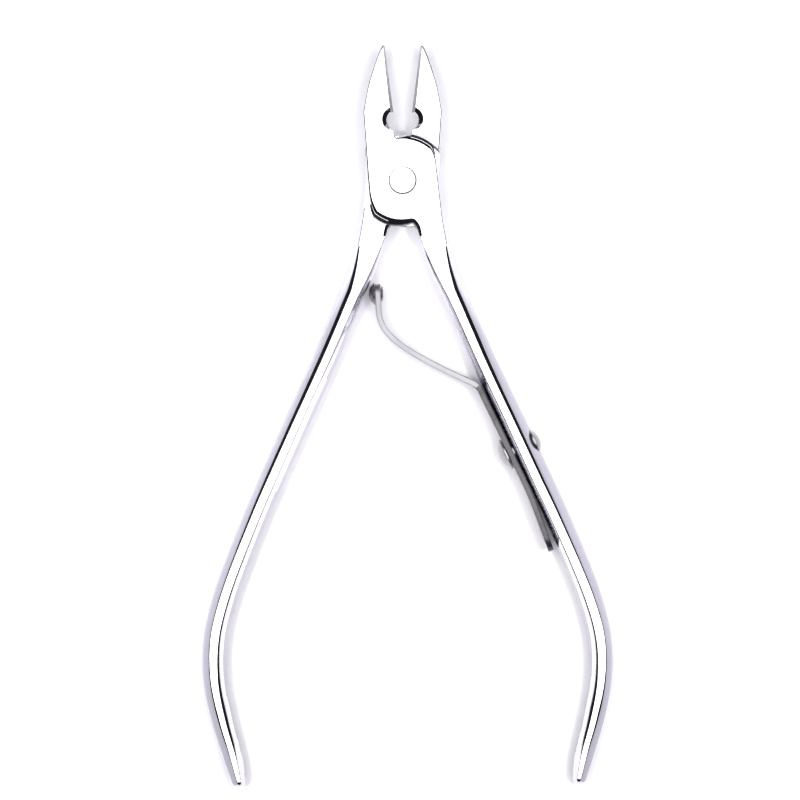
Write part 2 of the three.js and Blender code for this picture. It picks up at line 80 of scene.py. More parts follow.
# outer side of a jaw: shares of its half width, and of the way from the heel to the tip
JAW_SIDE = ((0.57, 0.925), (0.69, 0.745), (0.875, 0.39))
JAW_TAPER = 1.6
TAPER_CURVE = 1.6       # power of the taper's side view
TAPER_RUNOUT = 0.5      # taper beyond the tip
TAPER_START = 8.0
EDGE_GAP = 0.03
TOP_BEVEL = 0.5
HOLLOW = 1.1
RELIEF_CENTRE = 9.43
RELIEF_RADIUS = 1.95
RELIEF_WAIST = 1.45
RELIEF_SHIFT = (0.34, -0.36)    # of its waist, so that the upper outer wall shows
RELIEF_LIP = 0.4        # along the edge from its centre to the lips
RELIEF_FLARE = 0.12     # wider at the countersink's foot than at the waist
RELIEF_SINK = 0.5       # depth of the countersink
RELIEF_NARROW = 1.5     # depth where the waist begins
LIP_GAP = 0.4
HANDLE_REACH = 90.8
HANDLE_SPREAD = 29.1
HANDLE_SET = math.radians(0.69)
NECK = (4.9, -9.8)
NECK_LEAD = (-0.6, 2.2)  # from the neck to the handle's first point, inside the head
NECK_WIDTH = 4.0
GRIP_WIDTH = 3.75
GRIP_DEPTH = 5.2
END_WIDTH = 1.9
END_DEPTH = 2.1
LEAF_THICK = 0.85
LEAF_WIDTH = 5.0
LEAF_TIP_WIDTH = 3.8
LEAF_SEAT_GAP = 0.12
LEAF_TAIL_GAP = 0.6
TAIL_AT = 0.578
RIVET_AT = 0.396
BEND_AT = 0.27
ARM_SLOPE = math.radians(24)
ARM_START_PULL = 15.5
ARM_END_PULL = 3.5
ARM_TIP_LEAN = math.radians(-3)
TIP_OVERHANG = 1.45
RIVET_RADIUS = 1.2
RIVET_HEAD_RADIUS = 2.4
RIVET_HEAD_RIM = 0.35
RIVET_HEAD_HEIGHT = 1.2
RIVET_TAIL_RADIUS = 1.75
RIVET_TAIL_HEIGHT = 1.0
RIVET_TAIL_RIM = 0.3
SPOTFACE_CLEARANCE = 0.15
SPOTFACE_DEPTH = 0.35
SEAT_GAP = 0.05
BUTTON_RADIUS = 1.7
BUTTON_HEIGHT = 0.9
SHANK_RADIUS = 0.8
BUTTON_TAIL_RADIUS = 1.2
BUTTON_TAIL_HEIGHT = 0.35
BUTTON_GAP = 0.25
BUTTON_AT = 0.091
BUTTON_SURROUND = 0.2
LOOSE_FROM = 0.06       # beyond the rivet, as a share of the handle
ELBOW_IN = 1.2          # round elbow at the bend, on the handle's side
ELBOW_OUT = 1.0         # and on the arm's
ELBOW_STEPS = 8
TIP_ROUND = 1.3
TIP_NARROWS_BY = 0.9
TIP_NARROWS_OVER = 4.5


# ---- small maths ----
def polar(radius, degrees):
    a = math.radians(degrees)
    return np.array([radius * math.cos(a), radius * math.sin(a)])


def opened(x, y):
    """A place given with the jaws closed, moved to where the left jaw holds it when open."""
    c, s = math.cos(HALF_OPENING), math.sin(HALF_OPENING)
    return np.array([x * c - y * s, x * s + y * c])


def straight(p, q, steps):
    t = np.linspace(0, 1, steps, endpoint=False)[:, None]
    return np.array(p) * (1 - t) + np.array(q) * t


def bow(p, c, q, steps):
    """Quadratic curve without its last point."""
    t = np.linspace(0, 1, steps, endpoint=False)[:, None]
    return np.array(p) * (1 - t) ** 2 + 2 * np.array(c) * t * (1 - t) + np.array(q) * t * t


def through(points, steps):
    """Smooth curve through the points without its last point."""
    p = [np.array(x, float) for x in points]
    out = []
    for i in range(len(p) - 1):
        a, b = p[max(0, i - 1)], p[min(len(p) - 1, i + 2)]
        v0, v1 = (p[i + 1] - a) / 2, (b - p[i]) / 2
        for t in np.linspace(0, 1, steps, endpoint=False):
            out.append((2 * p[i] - 2 * p[i + 1] + v0 + v1) * t ** 3
                       + (-3 * p[i] + 3 * p[i + 1] - 2 * v0 - v1) * t ** 2 + v0 * t + p[i])
    return np.array(out)


class Line:
    """Plane curve read by its share of length."""

    def __init__(self, dense):
        self.p = np.array(dense, float)
        step = np.linalg.norm(np.diff(self.p, axis=0), axis=1)
        self.s = np.concatenate([[0], np.cumsum(step)])
        self.length = self.s[-1]

    def at(self, share):
        d = share * self.length
        return np.array([np.interp(d, self.s, self.p[:, 0]), np.interp(d, self.s, self.p[:, 1])])

    def along(self, share):
        h = 0.25 / self.length
        v = self.at(min(1, share + h)) - self.at(max(0, share - h))
        return v / np.linalg.norm(v)


def centripetal(points, steps=80):
    """Dense centripetal Catmull-Rom curve."""
    p = [np.array(x, float) for x in points]
    p = [2 * p[0] - p[1]] + p + [2 * p[-1] - p[-2]]
    out = []
    for i in range(1, len(p) - 2):
        d0, d1, d2 = (math.sqrt(np.linalg.norm(p[j + 1] - p[j])) for j in (i - 1, i, i + 1))
        t1 = ((p[i] - p[i - 1]) / d0 - (p[i + 1] - p[i - 1]) / (d0 + d1) + (p[i + 1] - p[i]) / d1) * d1
        t2 = ((p[i + 1] - p[i]) / d1 - (p[i + 2] - p[i]) / (d1 + d2) + (p[i + 2] - p[i + 1]) / d2) * d1
        c2 = -3 * p[i] + 3 * p[i + 1] - 2 * t1 - t2
        c3 = 2 * p[i] - 2 * p[i + 1] + t1 + t2
        for t in np.linspace(0, 1, steps, endpoint=False):
            out.append(p[i] + t1 * t + c2 * t * t + c3 * t ** 3)
    return out + [p[-2]]


def handle_line(turn):
    """Centreline of the right handle, turned about the neck."""
    neck = np.array(NECK)
    shares = [(0.21, 0.147), (0.277, 0.197), (0.409, 0.296), (0.6, 0.428), (0.785, 0.56), (0.944, 0.691),
              (0.993, 0.758), (0.996, 0.825), (0.956, 0.892), (0.91, 0.946), (0.872, 1.0)]
    c, s = math.cos(turn), math.sin(turn)
    points = [neck + NECK_LEAD, neck]
    for spread, reach in shares:
        x, y = np.array([spread * HANDLE_SPREAD, -reach * HANDLE_REACH]) - neck
        points.append(neck + (x * c - y * s, x * s + y * c))
    return Line(centripetal(points))


right_line, left_line = handle_line(HANDLE_SET), handle_line(-HANDLE_SET)


# ---- meshes ----
def mesh_object(name, points, faces):
    """Object from points in mm, with its faces turned outward."""
    mesh = bpy.data.meshes.new(name)
    mesh.from_pydata([tuple(np.array(p) * MM) for p in points], [], faces)
    bm = bmesh.new()
    bm.from_mesh(mesh)
    bmesh.ops.recalc_face_normals(bm, faces=bm.faces)
    bm.to_mesh(mesh)
    bm.free()
    obj = bpy.data.objects.new(name, mesh)
    bpy.context.scene.collection.objects.link(obj)
    return obj


def skin(name, rings):
    """Closed skin through rings of equal length, capped at both ends."""
    count = len(rings[0])
    faces = []
    for r in range(len(rings) - 1):
        for i in range(count):
            a, b = r * count + i, r * count + (i + 1) % count
            faces.append((a, b, b + count, a + count))
    last = (len(rings) - 1) * count
    faces.append(tuple(range(count)))
    faces.append(tuple(range(last, last + count)))
    return mesh_object(name, [p for ring in rings for p in ring], faces)


def lathe(name, profile, steps, axis=None, seat=None):
    """Turned solid about the pivot axis, or about an axis through a seat at half height."""
    rings = []
    for r, h in profile:
        r = max(r, 1e-4)    # a ring of no size would not close
        rings.append([(r * math.cos(a), r * math.sin(a), h)
                      for a in np.linspace(0, 2 * math.pi, steps, endpoint=False)])
    rings = np.array(rings)
    if axis is not None:
        z = np.array([*axis, 0.0])
        x = np.array([-z[1], z[0], 0.0])
        y = np.array([0.0, 0.0, 1.0])
        rings = rings @ np.array([x, y, z]) + (*seat, MID)
    return skin(name, rings)


def boolean(obj, other, how):
    modifier = obj.modifiers.new("cut", "BOOLEAN")
    modifier.operation = how
    modifier.solver = "MANIFOLD"
    modifier.object = other
    depsgraph = bpy.context.evaluated_depsgraph_get()
    mesh = bpy.data.meshes.new_from_object(obj.evaluated_get(depsgraph))
    obj.modifiers.clear()
    old, obj.data = obj.data, mesh
    bpy.data.meshes.remove(old)
    bpy.data.objects.remove(other)


SHARP_ANGLE = math.radians(28)
NORMAL_WEIGHT = 80


def finish_surface(obj):
    """Clean joins, sharp edges by angle, and normals weighted to the large faces."""
    bm = bmesh.new()
    bm.from_mesh(obj.data)
    bmesh.ops.remove_doubles(bm, verts=bm.verts, dist=2e-7)
    bmesh.ops.dissolve_degenerate(bm, edges=bm.edges, dist=1e-7)
    for face in bm.faces:
        face.smooth = True
    for edge in bm.edges:
        edge.smooth = len(edge.link_faces) == 2 and edge.calc_face_angle(0) < SHARP_ANGLE
    bm.to_mesh(obj.data)
    bm.free()
    weighted = obj.modifiers.new("normals", "WEIGHTED_NORMAL")
    weighted.keep_sharp = True
    weighted.weight = NORMAL_WEIGHT


# ---- handle ----
# Section at a share of the handle's length: width, depth, then the flat on top from its inner to its
# outer edge in half-widths, then how far the black-edged rounding reaches on each side, in mm.
SECTIONS = np.array([
    # at,   width,              depth,             in,    out,  round_in, round_out
    (0.0, NECK_WIDTH, HEAD_THICK, -0.88, 0.86, 0.12, 0.15),
    (0.04, NECK_WIDTH - 0.1, HEAD_THICK - 0.02, -0.70, 0.55, 0.12, 0.60),
    (0.11, GRIP_WIDTH - 0.24, HEAD_THICK - 0.15, -0.50, -0.13, 0.14, 1.30),
    (0.17, GRIP_WIDTH - 0.17, HEAD_THICK - 0.22, -0.38, -0.105, 0.15, 1.32),
    (0.30, GRIP_WIDTH - 0.06, (HEAD_THICK + GRIP_DEPTH) / 2, -0.26, 0.0, 0.17, 1.05),
    (0.46, GRIP_WIDTH - 0.09, (HEAD_THICK + GRIP_DEPTH) / 2 - 0.1, -0.29, 0.10, 0.20, 0.78),
    (0.63, GRIP_WIDTH - 0.14, GRIP_DEPTH, -0.23, 0.24, 0.42, 0.36),
    (0.74, GRIP_WIDTH - 0.26, GRIP_DEPTH * 0.9, -0.20, 0.30, 0.56, 0.22),
    (0.80, GRIP_WIDTH - 0.3, GRIP_DEPTH * 0.82, -0.16, 0.22, 0.72, 0.30),
    (0.87, GRIP_WIDTH - 0.42, GRIP_DEPTH * 0.7, -0.02, 0.08, 1.0, 0.60),
    (0.92, GRIP_WIDTH - 0.68, GRIP_DEPTH * 0.61, -0.06, 0.08, 0.8, 0.45),
    (0.955, GRIP_WIDTH - 0.95, GRIP_DEPTH * 0.53, -0.25, 0.15, 0.20, 0.20),
    (1.0, END_WIDTH, END_DEPTH, -0.20, 0.10, 0.16, 0.20),
])
# flats of the right handle lie this much further in, in half-widths, at a share of its length
RIGHT_LEAN = np.array([(0, 0), (0.11, -0.04), (0.17, -0.08), (0.3, -0.17), (0.46, -0.24),
                       (0.63, -0.12), (0.76, 0.03), (1, 0)])
OUTER_TILT = math.radians(47)   # where the outer rounding ends and the long side begins
BEVEL_TILT = math.radians(54)   # narrow polished bevel along the inner top edge
BEVEL_WIDTH = 0.42
SIDE_STEPS = 8
ROUND_STEPS = 5
HANDLE_RINGS = 170
HANDLE_START = 0.004    # share of the length, inside the head
END_TURNS = (15, 30, 45, 58, 70, 80, 87)    # degrees round the end


def section_at(share):
    """Width, depth, flat's inner and outer edge and both roundings at a share of the length."""
    return [np.interp(share, SECTIONS[:, 0], SECTIONS[:, k]) for k in range(1, 7)]


def side_curve(width, depth, rounding, tilt, bevel):
    """(across, down) points from a flat's edge to the widest point of the side."""
    rounding = min(rounding, 0.6 * width)
    radius = rounding / math.sin(tilt)
    points = [(radius * math.sin(t), radius * (1 - math.cos(t)))
              for t in np.linspace(0, tilt, ROUND_STEPS)]
    x, z = points[-1]
    if bevel > 0:
        bevel = min(bevel, 0.5 * (width - x), 0.5 * (depth - z) / math.tan(tilt))
        x, z = x + bevel, z + bevel * math.tan(tilt)
        points.append((x, z))
    # a curve that leaves along the tilt and ends upright
    slope = min(math.tan(tilt), 0.92 * (depth - z) / (width - x))
    corner = np.array([width, z + slope * (width - x)])
    first, last = np.array([x, z]), np.array([width, depth])
    for t in np.linspace(0, 1, SIDE_STEPS + 1)[1:]:
        points.append(tuple(first * (1 - t) ** 2 + 2 * corner * t * (1 - t) + last * t * t))
    return points


def handle_ring(line, share, scale):
    """Section of a handle across its line, drawn in by a scale near the end."""
    width, depth, flat_in, flat_out, round_in, round_out = section_at(share)
    if line is right_line:
        lean = np.interp(share, *RIGHT_LEAN.T)
        flat_in, flat_out = flat_in + lean, flat_out + lean
    a, b = width / 2, depth / 2
    outer = side_curve(a * (1 - flat_out), b, round_out, OUTER_TILT, 0)
    inner = side_curve(a * (1 + flat_in), b, round_in, BEVEL_TILT, BEVEL_WIDTH)
    top = ([(a * flat_in - u, b - v) for u, v in reversed(inner)]
           + [(a * flat_out + u, b - v) for u, v in outer])
    ring = top + [(u, -v) for u, v in reversed(top[1:-1])]
    point, along = line.at(share), line.along(share)
    outward = np.array([-along[1], along[0]])
    return [(*(point + outward * u * scale), MID + v * scale) for u, v in ring]


def handle(line):
    end = END_WIDTH / 2 / line.length
    rings = [handle_ring(line, s, 1) for s in np.linspace(HANDLE_START, 1 - end, HANDLE_RINGS)]
    for turn in END_TURNS:
        a = math.radians(turn)
        rings.append(handle_ring(line, 1 - end * (1 - math.sin(a)), math.cos(a)))
    return skin("handle", rings)


# ---- head blank: outline with its own rounding at each point ----
def free_end(turns):
    """Round end of a plate where it stands clear in the other half."""
    return [polar(FREE_RADIUS, a) for a in np.arange(turns[0], turns[1], END_STEP)]


def closing_end(turns, steps):
    """The rest of the round end, which draws in from the free radius to the plate's."""
    return [polar(FREE_RADIUS + (PLATE_RADIUS - FREE_RADIUS) * t, turns[1] + (turns[2] - turns[1]) * t)
            for t in np.linspace(0, 1, steps, endpoint=False)]


def head_outline():
    """Points round the head, how far the top edge is rounded in at each, and how slanted it is.

    Each stretch is given its points, then the rounding in mm and the slant from 0 to 1 at both ends.
    """
    def edge(y):
        return opened(-EDGE_GAP, y)

    tip, heel = edge(JAW_REACH), np.array([-JAW_HALF_WIDTH, JAW_HEEL])
    blunt = opened(-TIP_LAND, JAW_REACH - 0.05)
    parts = []

    def add(points, start, end, slant=(0, 0)):
        n = len(points)
        parts.append((np.array(points), np.linspace(start, end, n), np.linspace(*slant, n)))

    def share(across, up):
        return (heel[0] * across, heel[1] + (tip[1] - heel[1]) * up)

    add(straight(tip, blunt, 2), 0.02, 0.06)
    add(through([blunt, *(share(*at) for at in JAW_SIDE), heel], 10), 0.26, 0.33)
    waist, low_waist = (-WAIST, 0.9), (-WAIST + 0.2, -1.6)
    add(straight(heel, waist, 14), 0.33, 0.5)
    add(straight(waist, low_waist, 5), 0.5, 0.55, (0, 0.2))
    corner = polar(FREE_RADIUS, LOWER_END[0])
    add(bow(low_waist, (-WAIST + 0.35, -4.1), corner, 10), 0.5, 1.15, (0.2, 1))
    add(free_end(LOWER_END), 1.2, 1.25, (1, 1))
    add(closing_end(LOWER_END, 13), 1.25, 0.95, (1, 1))
    inner, outer = NECK[0] - NECK_WIDTH / 2, NECK[0] + NECK_WIDTH / 2
    crotch_end = (inner - 0.4, NECK[1] + 1.5)
    add(bow(polar(PLATE_RADIUS, LOWER_END[2]), (inner - 0.85, -PLATE_RADIUS + 0.15), crotch_end, 10),
        0.9, 0.55, (1, 1))
    add(straight(crotch_end, (inner + 0.1, NECK[1]), 5), 0.5, 0.3, (1, 0.6))
    add(straight((inner + 0.1, NECK[1]), (NECK[0], NECK[1] - 1.0), 4), 0.12, 0.3)
    add(straight((NECK[0], NECK[1] - 1.0), (outer - 0.1, NECK[1]), 4), 0.3, 0.2)
    outside = [(WAIST + out, y) for out, y in WAIST_SIDE]
    add(through([(outer - 0.1, NECK[1]), *outside], 8), 0.34, 0.36)
    corner = polar(FREE_RADIUS, UPPER_END[0])
    add(bow(outside[-1], (WAIST - 0.45, 4.5), corner, 9), 0.3, 0.75, (0, 1))
    add(free_end(UPPER_END), 0.8, 0.8, (1, 1))
    add(closing_end(UPPER_END, 8), 0.75, 0.45, (1, 0.5))
    lip = opened(-LIP_GAP, SHOULDER_RADIUS + 0.05)
    add(bow(polar(PLATE_RADIUS, UPPER_END[2]), opened(-LIP_GAP, PLATE_RADIUS + 0.1), lip, 6),
        0.36, 0.15)
    lip_end = opened(-LIP_GAP, RELIEF_CENTRE - RELIEF_LIP)
    add(straight(lip, lip_end, 5), 0.1, 0.05)
    add(straight(lip_end, edge(RELIEF_CENTRE + RELIEF_LIP), 3), 0.02, 0.02)
    add(straight(edge(RELIEF_CENTRE + RELIEF_LIP), tip, 30), 0.02, 0.02)
    return [np.concatenate(column) for column in zip(*parts)]


EDGE_DROP = 1.15        # rounding's depth to its width
# slanted edge of a lap plate, as shares of its width: inwards from the side, and down from the top
SLANT = [(0.0, 0.60), (0.16, 0.45), (0.34, 0.31), (0.52, 0.19), (0.70, 0.095), (0.86, 0.03), (1.0, 0.0)]
JAW_SLICES = 26


def head_blank():
    outline, rounding, slant = head_outline()
    before, after = np.roll(outline, 1, axis=0), np.roll(outline, -1, axis=0)
    travel = after - before
    travel /= np.linalg.norm(travel, axis=1)[:, None]
    area = np.sum(outline[:, 0] * after[:, 1] - after[:, 0] * outline[:, 1])
    inward = np.stack([-travel[:, 1], travel[:, 0]], 1) * np.sign(area)
    for _ in range(2):
        rounding = (np.roll(rounding, 1) + 2 * rounding + np.roll(rounding, -1)) / 4
    rings = []
    for turn, (reach, drop) in zip(np.linspace(0, math.pi / 2, len(SLANT)), SLANT):
        inset = rounding * ((1 - math.cos(turn)) * (1 - slant) + reach * slant)
        fall = rounding * (EDGE_DROP * (1 - math.sin(turn)) * (1 - slant) + drop * slant)
        xy = outline + inward * inset[:, None]
        rings.append(np.column_stack([xy, HEAD_THICK - fall]))
    under = [ring * (1, 1, -1) + (0, 0, HEAD_THICK) for ring in rings]
    obj = skin("head", list(reversed(under)) + rings)
    # slices across the jaw, then both faces drawn in towards the tip
    bm = bmesh.new()
    bm.from_mesh(obj.data)
    for y in np.linspace(TAPER_START, JAW_REACH - 0.4, JAW_SLICES):
        bmesh.ops.bisect_plane(bm, geom=bm.verts[:] + bm.edges[:] + bm.faces[:], dist=1e-7,
                               plane_co=(0, y * MM, 0), plane_no=(0, 1, 0))
    for vertex in bm.verts:
        t = max(0.0, (vertex.co.y / MM - TAPER_START) / (JAW_REACH + TAPER_RUNOUT - TAPER_START))
        keep = 1 - JAW_TAPER * t ** TAPER_CURVE / MID
        vertex.co.z = MID * MM + (vertex.co.z - MID * MM) * keep
    bmesh.ops.triangulate(bm, faces=[f for f in bm.faces if len(f.verts) > 4])
    bm.to_mesh(obj.data)
    bm.free()
    return obj


RECESS_RIM = 0.22
BORE_CLEARANCE = 0.02
BORE_RIM = 0.03
WEDGE_OVERRUN = 1.2     # wedge's height to the jaw's, so that it cuts right through
WEDGE_REACH = 1.5


def recess():
    """Room under a plate for the other half's round end, with a softened rim."""
    rim = RECESS_RIM
    profile = [(0, -1), (SHOULDER_RADIUS + rim, -1)]
    for t in np.linspace(math.pi / 2, 0, 6):
        profile.append((SHOULDER_RADIUS + rim * (1 - math.cos(t)), rim * (1 - math.sin(t))))
    profile += [(SHOULDER_RADIUS, MID + LAP_GAP / 2), (0, MID + LAP_GAP / 2)]
    return lathe("recess", profile, 180)


def bore():
    radius, rim = PIN_RADIUS + BORE_CLEARANCE, BORE_RIM
    return lathe("bore", [(0, -1), (radius + rim, -1), (radius + rim, 0), (radius, rim),
                          (radius, HEAD_THICK - rim), (radius + rim, HEAD_THICK),
                          (radius + rim, HEAD_THICK + 1), (0, HEAD_THICK + 1)], 128)


def relief():
    """Round relief whose rim is countersunk most on its upper outer side."""
    centre = opened(0, RELIEF_CENTRE)
    down = opened(RELIEF_SHIFT[0], RELIEF_CENTRE + RELIEF_SHIFT[1])
    rings = []
    for z, radius, place in ((-1, RELIEF_RADIUS, centre), (0, RELIEF_RADIUS, centre),
                             (RELIEF_SINK, RELIEF_WAIST + RELIEF_FLARE, down),
                             (RELIEF_NARROW, RELIEF_WAIST, down),
                             (HEAD_THICK - RELIEF_NARROW, RELIEF_WAIST, down),
                             (HEAD_THICK - RELIEF_SINK, RELIEF_WAIST + RELIEF_FLARE, down),
                             (HEAD_THICK - 0.12, RELIEF_RADIUS - 0.12, (centre * 0.75 + down * 0.25)),
                             (HEAD_THICK, RELIEF_RADIUS + 0.04, centre),
                             (HEAD_THICK + 1, RELIEF_RADIUS + 0.04, centre)):
        rings.append([(place[0] + radius * math.cos(a), place[1] + radius * math.sin(a), z)
                      for a in np.linspace(0, 2 * math.pi, 96, endpoint=False)])
    return skin("relief", rings)


def wedge(land, rise, side):
    """Cutter that leaves a narrow ground face beside a cutting edge."""
    top = rise * WEDGE_OVERRUN
    flat = [(0, 0), (-land * WEDGE_OVERRUN, top), (WEDGE_REACH, top), (WEDGE_REACH, 0)]
    rings = []
    for y in (JAW_REACH + 1, RELIEF_CENTRE):
        ring = []
        for x, z in flat:
            x = (x - EDGE_GAP) * side
            c, s = math.cos(side * HALF_OPENING), math.sin(side * HALF_OPENING)
            ring.append((x * c - y * s, x * s + y * c, MID + z))
        rings.append(ring)
    return skin("wedge", rings)


def forging(name, line, side):
    """One half: jaw, lap plate and handle. Side is 1 as drawn, -1 turned over about the long axis."""
    obj = head_blank()
    obj.name = name
    boolean(obj, handle(line), "UNION")
    for cutter in (relief(), recess(), bore()):
        boolean(obj, cutter, "DIFFERENCE")
    if side < 0:
        over = Matrix.Rotation(math.pi, 4, "Y")
        obj.data.transform(Matrix.Translation((0, 0, HEAD_THICK * MM)) @ over)
    for cutter in (wedge(TOP_BEVEL, MID, side), wedge(HOLLOW, -MID, side)):
        boolean(obj, cutter, "DIFFERENCE")
    return obj


upper = forging("upper_forging", right_line, 1)
lower = forging("lower_forging", left_line, -1)

# ---- spring rivet: hole and spotface in the right handle, then the rivet itself ----
rivet_point, rivet_along = right_line.at(RIVET_AT), right_line.along(RIVET_AT)
rivet_out = np.array([-rivet_along[1], rivet_along[0]])
rivet_width = section_at(RIVET_AT)[0]
seat_r = RIVET_TAIL_RADIUS + SPOTFACE_CLEARANCE
hole_r = RIVET_RADIUS + SEAT_GAP
CUTTER_END = 6          # beyond the handle on both sides
TURNED_STEPS = 64
hole = [(0, -CUTTER_END), (hole_r, -CUTTER_END), (hole_r, CUTTER_END), (0, CUTTER_END)]
boolean(upper, lathe("hole", hole, TURNED_STEPS, axis=rivet_out, seat=rivet_point), "DIFFERENCE")
face_at = rivet_width / 2 - SPOTFACE_DEPTH
spotface = [(0, face_at), (seat_r, face_at), (seat_r + 0.05, CUTTER_END), (0, CUTTER_END)]
boolean(upper, lathe("spotface", spotface, TURNED_STEPS, axis=rivet_out, seat=rivet_point),
        "DIFFERENCE")


def cap(radius, height, base, steps=10):
    """Profile of a domed head from its rim to its crown."""
    sphere = (radius ** 2 + height ** 2) / (2 * height)
    start = math.asin(min(1, radius / sphere))
    return [(sphere * math.sin(a), base + height - sphere * (1 - math.cos(a)))
            for a in np.linspace(start, 0, steps)]


inner_seat = -(rivet_width / 2 + LEAF_SEAT_GAP + LEAF_THICK + SEAT_GAP)
outer_seat = rivet_width / 2 - SPOTFACE_DEPTH + SEAT_GAP
soft = 0.08             # broken edge of the rivet's and button's heads
inner_cap = [(r, inner_seat - RIVET_HEAD_RIM - h)
             for r, h in cap(RIVET_HEAD_RADIUS - soft, RIVET_HEAD_HEIGHT - RIVET_HEAD_RIM, 0)]
rivet = lathe("rivet_body", list(reversed(inner_cap)) + [
    (RIVET_HEAD_RADIUS, inner_seat - RIVET_HEAD_RIM + soft), (RIVET_HEAD_RADIUS, inner_seat - soft),
    (RIVET_HEAD_RADIUS - soft, inner_seat), (RIVET_RADIUS, inner_seat), (RIVET_RADIUS, outer_seat),
    (RIVET_TAIL_RADIUS - soft, outer_seat), (RIVET_TAIL_RADIUS, outer_seat + soft),
    (RIVET_TAIL_RADIUS, outer_seat + RIVET_TAIL_RIM - soft)]
    + cap(RIVET_TAIL_RADIUS - soft, RIVET_TAIL_HEIGHT - RIVET_TAIL_RIM, outer_seat + RIVET_TAIL_RIM),
    TURNED_STEPS, axis=rivet_out, seat=rivet_point)

# ---- contact button at the arm's end, facing the left handle ----
dome_sphere = (BUTTON_RADIUS ** 2 + BUTTON_HEIGHT ** 2) / (2 * BUTTON_HEIGHT)
flip = np.array([-1, 1])
facing_along = left_line.along(BUTTON_AT)
facing_out = np.array([-facing_along[1], facing_along[0]]) * flip
facing_point = left_line.at(BUTTON_AT) * flip - facing_out * section_at(BUTTON_AT)[0] / 2
sphere_centre = facing_point - facing_out * (dome_sphere + BUTTON_GAP)
tip_along = np.array([math.sin(ARM_TIP_LEAN), math.cos(ARM_TIP_LEAN)])
tip_facing = np.array([-tip_along[1], tip_along[0]])
button_seat = sphere_centre + tip_facing * (dome_sphere - BUTTON_HEIGHT)
button_centre = button_seat - tip_facing * (LEAF_THICK / 2 + SEAT_GAP)
back = -LEAF_THICK - 2 * SEAT_GAP
button = lathe("button_body", [
    (0, back - BUTTON_TAIL_HEIGHT), (BUTTON_TAIL_RADIUS * 0.6, back - BUTTON_TAIL_HEIGHT),
    (BUTTON_TAIL_RADIUS * 0.85, back - BUTTON_TAIL_HEIGHT * 0.8), (BUTTON_TAIL_RADIUS, back - soft),
    (BUTTON_TAIL_RADIUS - soft, back), (SHANK_RADIUS, back), (SHANK_RADIUS, 0),
    (BUTTON_RADIUS - soft, 0)] + cap(BUTTON_RADIUS, BUTTON_HEIGHT, 0, 14),
    TURNED_STEPS, axis=tip_facing, seat=button_seat)

# ---- pivot pin: riveted flush, its ground end faces set a little to one side ----
# share of the inset at each step in from the pin's side, and the drop there
PIN_EDGE = [(0.0, 0.30), (0.12, 0.13), (0.45, 0.085), (0.8, 0.03), (1.0, 0.0)]
PIN_INSET = 0.22
PIN_SHIFT = (-0.012, 0.018)


def pin_ring(share, z):
    radius = PIN_RADIUS - PIN_INSET * share
    x, y = PIN_SHIFT[0] * share, PIN_SHIFT[1] * share
    return [(radius * math.cos(a) + x, radius * math.sin(a) + y, z)
            for a in np.linspace(0, 2 * math.pi, 96, endpoint=False)]


pin = skin("pin_body", [pin_ring(share, drop) for share, drop in reversed(PIN_EDGE)]
           + [pin_ring(share, HEAD_THICK - drop) for share, drop in PIN_EDGE])


# ---- leaf spring: one bent strip ----
def leaf_beside(share):
    """Middle of the strip beside the right handle."""
    t = min(1, max(0, (share - RIVET_AT - LOOSE_FROM) / (TAIL_AT - RIVET_AT - LOOSE_FROM)))
    gap = LEAF_SEAT_GAP + (LEAF_TAIL_GAP - LEAF_SEAT_GAP) * t * t * (3 - 2 * t)
    along = right_line.along(share)
    out = np.array([-along[1], along[0]])
    return right_line.at(share) - out * (section_at(share)[0] / 2 + gap + LEAF_THICK / 2)


bend = leaf_beside(BEND_AT)
arm_end = button_centre + tip_along * TIP_OVERHANG
straight_start = button_centre - tip_along * (BUTTON_RADIUS + BUTTON_SURROUND)
arm_start = np.array([-math.cos(ARM_SLOPE), math.sin(ARM_SLOPE)])
pulls = [bend, bend + arm_start * ARM_START_PULL,
         straight_start - tip_along * ARM_END_PULL, straight_start]
arm = [pulls[0] * (1 - t) ** 3 + 3 * pulls[1] * t * (1 - t) ** 2 + 3 * pulls[2] * t * t * (1 - t)
       + pulls[3] * t ** 3 for t in np.linspace(0, 1, 81)]
arm_line = Line(arm)
into = leaf_beside(BEND_AT + ELBOW_IN / right_line.length)
out_of = arm_line.at(ELBOW_OUT / arm_line.length)
leaf_path = [leaf_beside(s) for s in np.linspace(TAIL_AT, BEND_AT + 1.35 / right_line.length, 60)]
elbow_end = len(leaf_path) + ELBOW_STEPS
leaf_path += [into * (1 - t) ** 2 + 2 * bend * t * (1 - t) + out_of * t * t
              for t in np.linspace(0, 1, ELBOW_STEPS + 1)]
leaf_path += [arm_line.at(s) for s in np.linspace(1.25 / arm_line.length, 1, 90)]
leaf_path += [straight_start + (arm_end - straight_start) * t for t in np.linspace(0.05, 1, 24)]
leaf_path = np.array(leaf_path)
leaf_s = np.concatenate([[0], np.cumsum(np.linalg.norm(np.diff(leaf_path, axis=0), axis=1))])
LEAF_EDGE = 0.13        # rounding of the strip's sheared edges


